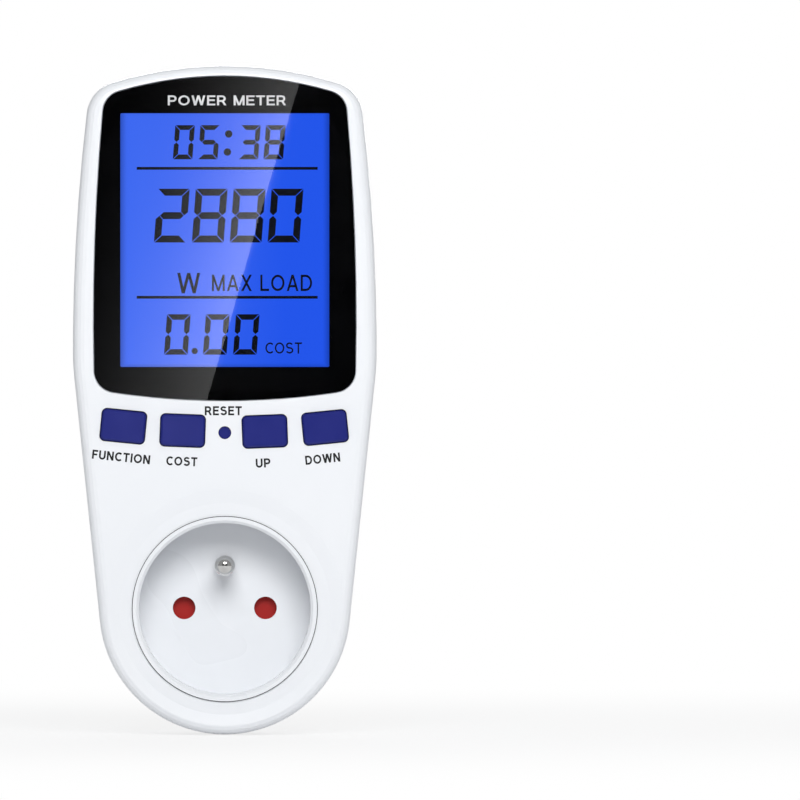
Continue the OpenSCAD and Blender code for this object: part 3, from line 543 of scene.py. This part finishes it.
# radius of the moulded or stamped edges, in millimetres
EDGE_RADII = {
    "front_housing": 0.18, "socket_cup": 0.22, "function_key": 0.5, "cost_key": 0.5, "up_key": 0.5,
    "down_key": 0.5, "reset_key": 0.3, "rear_housing": 0.2, "plug_body": 0.25, "display_window": 0.12,
    "earth_bracket": 0.12, "earth_sleeve": 0.15, "earth_rivet": 0.1, "live_pin": 0.1, "neutral_pin": 0.1,
    "shutter": 0.3, "socket_earth_pin": 0.1, "lower_case_screws": 0.15, "upper_case_screw": 0.15,
}


def soften_edges(node, radius):
    """Rounds the edges that a mould or a press leaves soft."""
    flatten = node.modifiers.new("flatten", "DECIMATE")
    flatten.decimate_type = "DISSOLVE"
    flatten.angle_limit = math.radians(0.5)
    rounding = node.modifiers.new("rounding", "BEVEL")
    rounding.width = radius
    rounding.segments = 3
    rounding.limit_method = "ANGLE"
    rounding.angle_limit = math.radians(35)
    rounding.miter_outer = "MITER_ARC"
    rounding.harden_normals = True


def finish_cad_nodes(materials):
    """Every CAD node takes its slot's finish and smooth shading with crisp edges."""
    slots = {row["node"]: row["material_slot"] for row in frame["record"]["subparts"]}
    for name, node in NODES.items():
        node.data.materials.clear()
        node.data.materials.append(materials[slots[name]])
        node.data.shade_smooth()
        node.data.set_sharp_from_angle(angle=math.radians(28))
        if name in EDGE_RADII:
            soften_edges(node, EDGE_RADII[name] * MM)


# ---- display ----

def make_display(ink):
    """Digits, rules and words on the display cell."""
    y = LCD_FRONT_Y
    slant = 0.075
    clock = []
    for character, x in zip("0538", (-12.1, -6.25, 3.2, 9.0)):
        clock += digit(character, x, 104.6, 4.55, 7.95, 1.12, 0.1, slant)
    clock += [disc(0.6, 106.3, 0.86), disc(0.9, 110.5, 0.86)]
    flat_shapes("clock_digits", clock, y, "case", ink)
    power = []
    for i, character in enumerate("2880"):
        power += digit(character, -16.5 + 8.82 * i, 85.25, 7.4, 12.5, 1.62, 0.12, slant)
    flat_shapes("power_digits", power, y, "case", ink)
    cost = []
    for character, x in zip("000", (-14.15, -5.1, 1.9)):
        cost += digit(character, x, 59.15, 5.5, 9.4, 1.28, 0.12, slant)
    cost.append(disc(-7.0, 60.0, 0.72))
    flat_shapes("cost_digits", cost, y, "case", ink)
    rules = [bar(-20.5, 21.6, z, 0.65) for z in (102.5, 72.5)]
    flat_shapes("display_rules", rules, y, "case", ink)
    word_piece("watt_sign", "W", -8.4, 75.8, y, 4.75, 5.5, THIN, ink)
    word_piece("load_word", "MAX LOAD", 8.65, 75.85, y, 3.8, 23.3, THIN, ink)
    word_piece("cost_word", "COST", 13.7, 60.7, y, 2.6, 8.5, THIN, ink)


# ---- print on the case ----

def make_legends(ink):
    """Key names on the front face: [word, x, z, height, width, lean]."""
    words = [("FUNCTION", -24.1, 35.35, 2.1, 13.5, -5.7), ("COST", -10.0, 34.35, 2.1, 7.2, -2.2),
             ("UP", 8.9, 33.95, 2.1, 3.4, 2.2), ("DOWN", 22.75, 34.95, 2.1, 8.1, 5.7),
             ("RESET", -0.35, 46.1, 2.1, 8.6, 0.0)]
    for word, x, z, height, width, lean in words:
        word_piece(word.lower() + "_legend", word, x, z, FRONT_Y, height, width, BOLD, ink,
                   lean)


def make_cup_gap_shade(material):
    """Black ring in the gap between the case and the socket cup: painted shade that stands for the shadow
    deep in the narrow gap.
    """
    middle_r = 21.51
    line_w = 0.2
    outer_r = middle_r + line_w / 2
    halves = [bowed(line_w, 0, 0, outer_r, outer_r, start, start + 180, 72) for start in (-90, 90)]
    # painted shade: a dark ring just below the face, in the gap round the cup
    flat_shapes("cup_gap_shade", halves, FRONT_Y + 0.12 * MM, "case", material)


def make_heading(ink):
    """Plain silver name of the kind of object above the display."""
    word_piece("window_heading", "POWER METER", 0.5, 118.3, WINDOW_BACK_Y, 2.3, 27.5, MEDIUM,
               ink)


def make_label_print(ink):
    """Generic ratings on the rear plate."""
    rows = [("POWER METER", 2.0, 19.0, 53.0), ("230 V AC", 1.5, 9.5, 49.2), ("50 Hz", 1.5, 6.0, 46.2),
            ("MAX 16 A", 1.5, 9.5, 43.2), ("MAX 3680 W", 1.5, 12.5, 40.2)]
    left_edge = 19.4
    for i, (words, height, width, z) in enumerate(rows):
        text_piece("label_row_%d" % (i + 1), words, left_edge - width / 2, z, LABEL_Y, height, width,
                   ink)


# ---- the shutter's return spring ----

def make_shutter_spring(material):
    """The shutter's return spring: a wound wire with closed ends, its foot fixed on the case."""
    wire_r = 0.22 * MM
    head_gap = 0.02 * MM
    closed_pitch = 2.1 * wire_r
    turns = 9
    steps = 24 * turns
    sides = 10
    low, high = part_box("shutter_spring")
    middle_x = (low.x + high.x) / 2
    middle_y = (low.y + high.y) / 2
    coil_r = (high.x - low.x) / 2 - wire_r
    foot = low.z + wire_r
    head = high.z - wire_r - head_gap
    open_pitch = (head - foot - 2 * closed_pitch) / (turns - 2)
    verts = []
    for step in range(steps + 1):
        turn = turns * step / steps
        closed = min(turn, 1) + max(turn - turns + 1, 0)
        height = foot + closed * closed_pitch + (turn - closed) * open_pitch
        angle = 2 * math.pi * turn
        for side in range(sides):
            around = 2 * math.pi * side / sides
            reach = coil_r + wire_r * math.cos(around)
            verts.append((middle_x + reach * math.cos(angle), middle_y + reach * math.sin(angle),
                          height + wire_r * math.sin(around)))
    faces = []
    for step in range(steps):
        near = step * sides
        for side in range(sides):
            after = (side + 1) % sides
            faces.append((near + side, near + after, near + sides + after, near + sides + side))
    faces.append(list(range(sides)))
    faces.append(list(range(steps * sides, (steps + 1) * sides)))
    spring = add_piece("return_spring", verts, faces, "case", material)
    turn_outwards(spring)
    spring.data.shade_smooth()
    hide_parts("shutter_spring")
    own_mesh(spring)


# ---- studio ----

def add_area_light(name, place, target, size, power, color=(1, 1, 1)):
    """Soft box at place that looks at target."""
    light = bpy.data.lights.new(name, "AREA")
    light.shape = "RECTANGLE"
    light.size = size[0]
    light.size_y = size[1]
    light.energy = power
    light.color = color
    lamp = bpy.data.objects.new(name, light)
    lamp.location = place
    lamp.rotation_mode = "QUATERNION"
    lamp.rotation_quaternion = (Vector(target) - Vector(place)).to_track_quat("-Z", "Y")
    lamp.visible_camera = False
    bpy.context.scene.collection.objects.link(lamp)
    return lamp


def glow_material(name, set_strength=None):
    """Light of a studio card; black where no function sets its strength."""
    material, tree, output, place = new_material(name)
    glow = tree.nodes.new("ShaderNodeEmission")
    glow.inputs["Strength"].default_value = 0.0
    if set_strength:
        set_strength(tree, place, glow)
    tree.links.new(glow.outputs["Emission"], output.inputs["Surface"])
    return material


def add_card(name, corners, material):
    """Studio card seen only in reflections."""
    mesh = bpy.data.meshes.new(name)
    mesh.from_pydata(corners, [], [tuple(range(len(corners)))])
    mesh.materials.append(material)
    card = bpy.data.objects.new(name, mesh)
    bpy.context.scene.collection.objects.link(card)
    card.visible_camera = False
    card.visible_diffuse = False
    card.visible_shadow = False
    card.visible_transmission = False
    return card


CAMERA_DISTANCE = 3.0      # camera to the front face; far off, so the view is nearly flat
FRAME_WIDTH = 0.186        # width of the picture at the front face
SKY_STRENGTH = 0.32        # light from all round, beside the soft boxes
CARD_STRENGTH = 2.3        # brightness of the graded card at its slanted edge
CARD_FADE = 0.056          # how far from that edge the card turns black
CARD_DISTANCE = 1.0        # card to the front face
FLAG_GAP = 0.02            # dark flag to the card
FLAG_SIZE = 1.1            # side of the square flag
SIDE_SHIFT = 0.219         # moves the object left in the picture, as a share of its width
FLOOR_DROP = 0.0002        # air between the object and the floor
FLOOR_REACH = 6.0          # half the side of the floor


def make_camera():
    """Looks straight at the front, with the object left of the middle."""
    camera = bpy.data.cameras.new("camera")
    camera.sensor_width = 36
    camera.lens = camera.sensor_width * CAMERA_DISTANCE / FRAME_WIDTH
    camera.shift_x = SIDE_SHIFT
    camera.clip_start = 0.01
    camera.clip_end = 100
    camera_object = bpy.data.objects.new("camera", camera)
    camera_object.location = (0, FRONT_Y - CAMERA_DISTANCE, MIDDLE_Z)
    camera_object.rotation_euler = (math.pi / 2, 0, 0)
    bpy.context.scene.collection.objects.link(camera_object)
    bpy.context.scene.camera = camera_object


def make_floor():
    """Pale floor that the camera sees fade into the white surroundings."""
    material, tree, output, place = new_material("studio_floor")
    surface = tree.nodes.new("ShaderNodeBsdfDiffuse")
    surface.inputs["Color"].default_value = (0.93, 0.93, 0.935, 1.0)
    glow = tree.nodes.new("ShaderNodeEmission")
    glow.inputs["Color"].default_value = (1, 1, 1, 1)
    distance = tree.nodes.new("ShaderNodeVectorMath")
    distance.operation = "LENGTH"
    tree.links.new(place, distance.inputs[0])
    fade = tree.nodes.new("ShaderNodeMapRange")
    fade.interpolation_type = "SMOOTHSTEP"
    fade.inputs["From Min"].default_value = 0.06
    fade.inputs["From Max"].default_value = 0.5
    fade.inputs["To Min"].default_value = 0.78
    tree.links.new(distance.outputs["Value"], fade.inputs["Value"])
    rays = tree.nodes.new("ShaderNodeLightPath")
    only_seen = tree.nodes.new("ShaderNodeMath")
    only_seen.operation = "MULTIPLY"
    tree.links.new(fade.outputs["Result"], only_seen.inputs[0])
    tree.links.new(rays.outputs["Is Camera Ray"], only_seen.inputs[1])
    mix = tree.nodes.new("ShaderNodeMixShader")
    tree.links.new(only_seen.outputs[0], mix.inputs["Fac"])
    tree.links.new(surface.outputs["BSDF"], mix.inputs[1])
    tree.links.new(glow.outputs["Emission"], mix.inputs[2])
    tree.links.new(mix.outputs["Shader"], output.inputs["Surface"])
    reach = FLOOR_REACH
    mesh = bpy.data.meshes.new("studio_floor")
    mesh.from_pydata([(-reach, -reach, 0), (reach, -reach, 0), (reach, reach, 0), (-reach, reach, 0)], [],
                     [(0, 1, 2, 3)])
    mesh.materials.append(material)
    floor = bpy.data.objects.new("studio_floor", mesh)
    floor.location = (0, 0, FOOT_Z - FLOOR_DROP)
    bpy.context.scene.collection.objects.link(floor)


def make_world():
    """White backdrop, with a dimmer sky for the light and reflections that fall on the object."""
    world = bpy.data.worlds.new("studio")
    bpy.context.scene.world = world
    world.use_nodes = True
    tree = world.node_tree
    tree.nodes.clear()
    output = tree.nodes.new("ShaderNodeOutputWorld")
    seen = tree.nodes.new("ShaderNodeBackground")
    seen.inputs["Color"].default_value = (1, 1, 1, 1)
    sky = tree.nodes.new("ShaderNodeBackground")
    sky.inputs["Color"].default_value = (0.97, 0.985, 1.0, 1.0)
    sky.inputs["Strength"].default_value = SKY_STRENGTH
    rays = tree.nodes.new("ShaderNodeLightPath")
    mix = tree.nodes.new("ShaderNodeMixShader")
    tree.links.new(rays.outputs["Is Camera Ray"], mix.inputs["Fac"])
    tree.links.new(sky.outputs["Background"], mix.inputs[1])
    tree.links.new(seen.outputs["Background"], mix.inputs[2])
    tree.links.new(mix.outputs["Shader"], output.inputs["Surface"])


def make_reflection_cards():
    """A dark flag in front of the object and, just nearer to it, a bright card with a slanted edge."""
    near_y = FRONT_Y - CARD_DISTANCE
    far_y = near_y - FLAG_GAP

    # the card's slanted edge passes through these two points; the window mirrors it
    high = (0.0231, 0.1467)
    low = (-0.0058, 0.0486)
    slope = (high[0] - low[0]) / (high[1] - low[1])

    def graded(tree, place, glow):
        axis = tree.nodes.new("ShaderNodeSeparateXYZ")
        tree.links.new(place, axis.inputs["Vector"])
        lean = tree.nodes.new("ShaderNodeMath")
        lean.operation = "MULTIPLY_ADD"
        lean.inputs[1].default_value = -slope
        tree.links.new(axis.outputs["Z"], lean.inputs[0])
        tree.links.new(axis.outputs["X"], lean.inputs[2])
        ramp = tree.nodes.new("ShaderNodeMapRange")
        edge_x = low[0] - slope * low[1]
        ramp.inputs["From Min"].default_value = edge_x - CARD_FADE
        ramp.inputs["From Max"].default_value = edge_x
        tree.links.new(lean.outputs[0], ramp.inputs["Value"])
        curve = tree.nodes.new("ShaderNodeMath")
        curve.operation = "POWER"
        curve.inputs[1].default_value = 2.5
        tree.links.new(ramp.outputs["Result"], curve.inputs[0])
        gain = tree.nodes.new("ShaderNodeMath")
        gain.operation = "MULTIPLY"
        gain.inputs[1].default_value = CARD_STRENGTH
        tree.links.new(curve.outputs[0], gain.inputs[0])
        tree.links.new(gain.outputs[0], glow.inputs["Strength"])

    half = FLAG_SIZE / 2
    add_card("dark_flag", [(-half, far_y, -half), (half, far_y, -half), (half, far_y, half),
                           (-half, far_y, half)], glow_material("flag_black"))
    left_x = -0.4
    top_z = 0.5
    foot_z = -0.3
    edge = [(low[0] + slope * (z - low[1]), near_y, z) for z in (foot_z, top_z)]
    add_card("bright_card", [(left_x, near_y, foot_z), edge[0], edge[1], (left_x, near_y, top_z)],
             glow_material("card_white", graded))


def make_lights():
    """Soft boxes above the front and behind."""
    middle = (0, -0.03, MIDDLE_Z)
    add_area_light("front_box", (0.07, -1.2, 0.62), middle, (0.7, 0.55), 11.5)
    add_area_light("rear_box", (0.1, 1.3, 0.45), middle, (0.7, 0.7), 10.0)


def set_picture_style():
    """Plain colours with no film look."""
    scene = bpy.context.scene
    scene.view_settings.view_transform = "Standard"
    scene.view_settings.look = "None"
    scene.view_settings.exposure = 0.0
    scene.view_settings.gamma = 1.0


make_camera()
set_picture_style()
make_world()
make_floor()
make_reflection_cards()
make_lights()

materials = make_materials()
finish_cad_nodes(materials)
dark_ink = ink_material("display_ink", (0.003, 0.004, 0.007), (0.15, 0.2), 0.1)
black_ink = ink_material("legend_ink", (0.006, 0.006, 0.007), (0.4, 0.5), 0.3)
silver_ink = solid_material("silver_ink", (0.6, 0.6, 0.6), (0.7, 0.7, 0.7), (0.3, 0.4), 1 * MM, 0.1 * MM,
                            0.002 * MM, metallic=0.9)
make_display(dark_ink)
make_legends(black_ink)
make_cup_gap_shade(materials["black_part"])
make_heading(silver_ink)
make_label_print(black_ink)
make_shutter_spring(materials["steel"])
